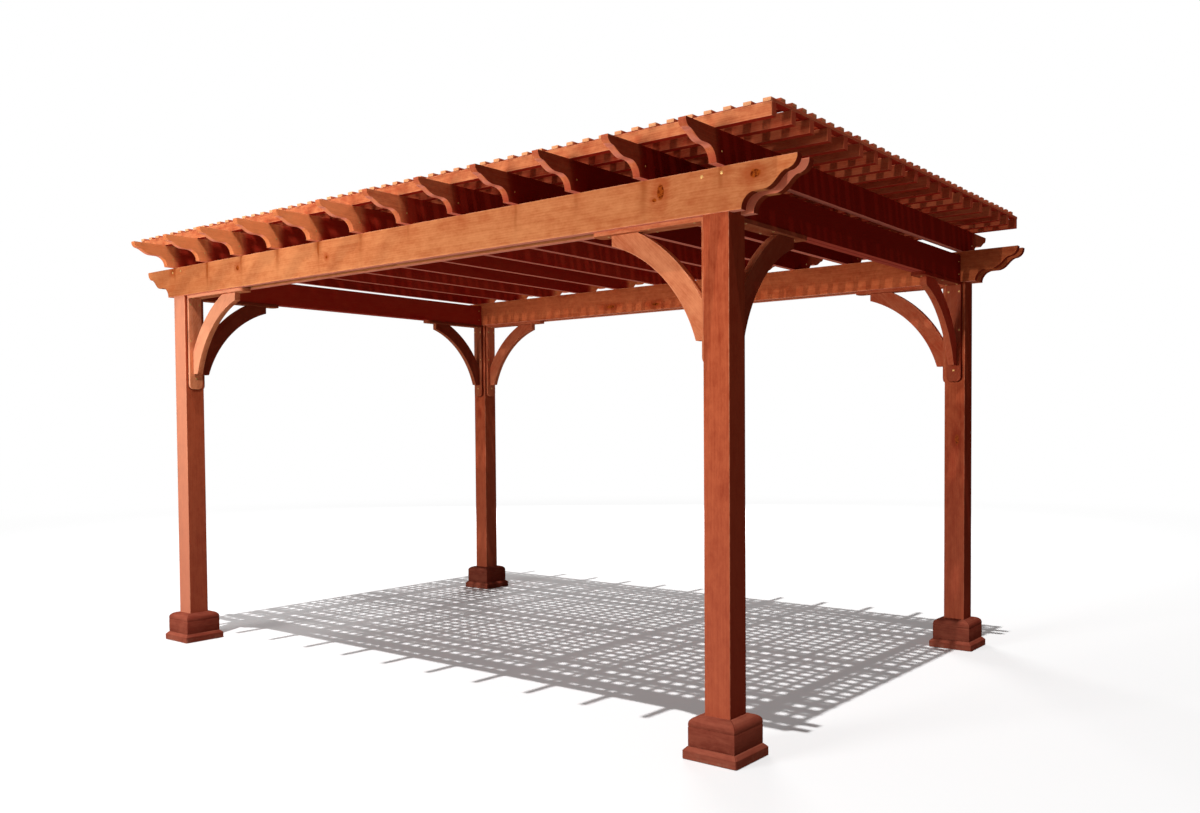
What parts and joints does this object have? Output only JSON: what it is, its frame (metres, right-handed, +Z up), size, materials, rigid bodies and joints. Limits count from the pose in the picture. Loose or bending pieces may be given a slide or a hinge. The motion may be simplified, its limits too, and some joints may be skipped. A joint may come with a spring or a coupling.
{
  "type": "wooden pergola",
  "caption": "Free-standing timber pergola with ogee-ended beams and rafters, curved knee braces, boxed post bases and a slatted roof.",
  "frame": {"origin": "on the ground at the centre of the footprint", "axes": "+X right along the front beam, +Y from the front to the back, +Z up"},
  "size_m": [5.012, 3.534, 2.738],
  "materials": {
    "post_wood": "red-brown stained softwood, satin",
    "base_wood": "red-brown stained softwood trim, satin",
    "beam_wood": "red-brown stained softwood, satin, sun-lit orange",
    "rafter_wood": "red-brown stained softwood, satin",
    "brace_wood": "red-brown stained softwood, satin",
    "stringer_wood": "red-brown stained softwood, satin",
    "slat_wood": "red-brown stained softwood, satin"
  },
  "bodies": {
    "root": {"back_beam_inner": "beam_wood", "back_beam_outer": "beam_wood", "back_left_base_box": "base_wood", "back_left_base_skirt": "base_wood", "back_left_beam_brace": "brace_wood", "back_left_post": "post_wood", "back_left_side_brace": "brace_wood", "back_right_base_box": "base_wood", "back_right_base_skirt": "base_wood", "back_right_beam_brace": "brace_wood", "back_right_post": "post_wood", "back_right_side_brace": "brace_wood", "back_stringers": "stringer_wood", "back_upper_slats": "slat_wood", "front_beam_inner": "beam_wood", "front_beam_outer": "beam_wood", "front_left_base_box": "base_wood", "front_left_base_skirt": "base_wood", "front_left_beam_brace": "brace_wood", "front_left_post": "post_wood", "front_left_side_brace": "brace_wood", "front_right_base_box": "base_wood", "front_right_base_skirt": "base_wood", "front_right_beam_brace": "brace_wood", "front_right_post": "post_wood", "front_right_side_brace": "brace_wood", "front_stringers": "stringer_wood", "front_upper_slats": "slat_wood", "left_lower_slats": "slat_wood", "left_side_beam": "beam_wood", "middle_lower_slats": "slat_wood", "rafter_01": "rafter_wood", "rafter_02": "rafter_wood", "rafter_03": "rafter_wood", "rafter_04": "rafter_wood", "rafter_05": "rafter_wood", "rafter_06": "rafter_wood", "rafter_07": "rafter_wood", "rafter_08": "rafter_wood", "rafter_09": "rafter_wood", "rafter_10": "rafter_wood", "rafter_11": "rafter_wood", "rafter_12": "rafter_wood", "right_lower_slats": "slat_wood", "right_side_beam": "beam_wood"}
  },
  "joints": []
}
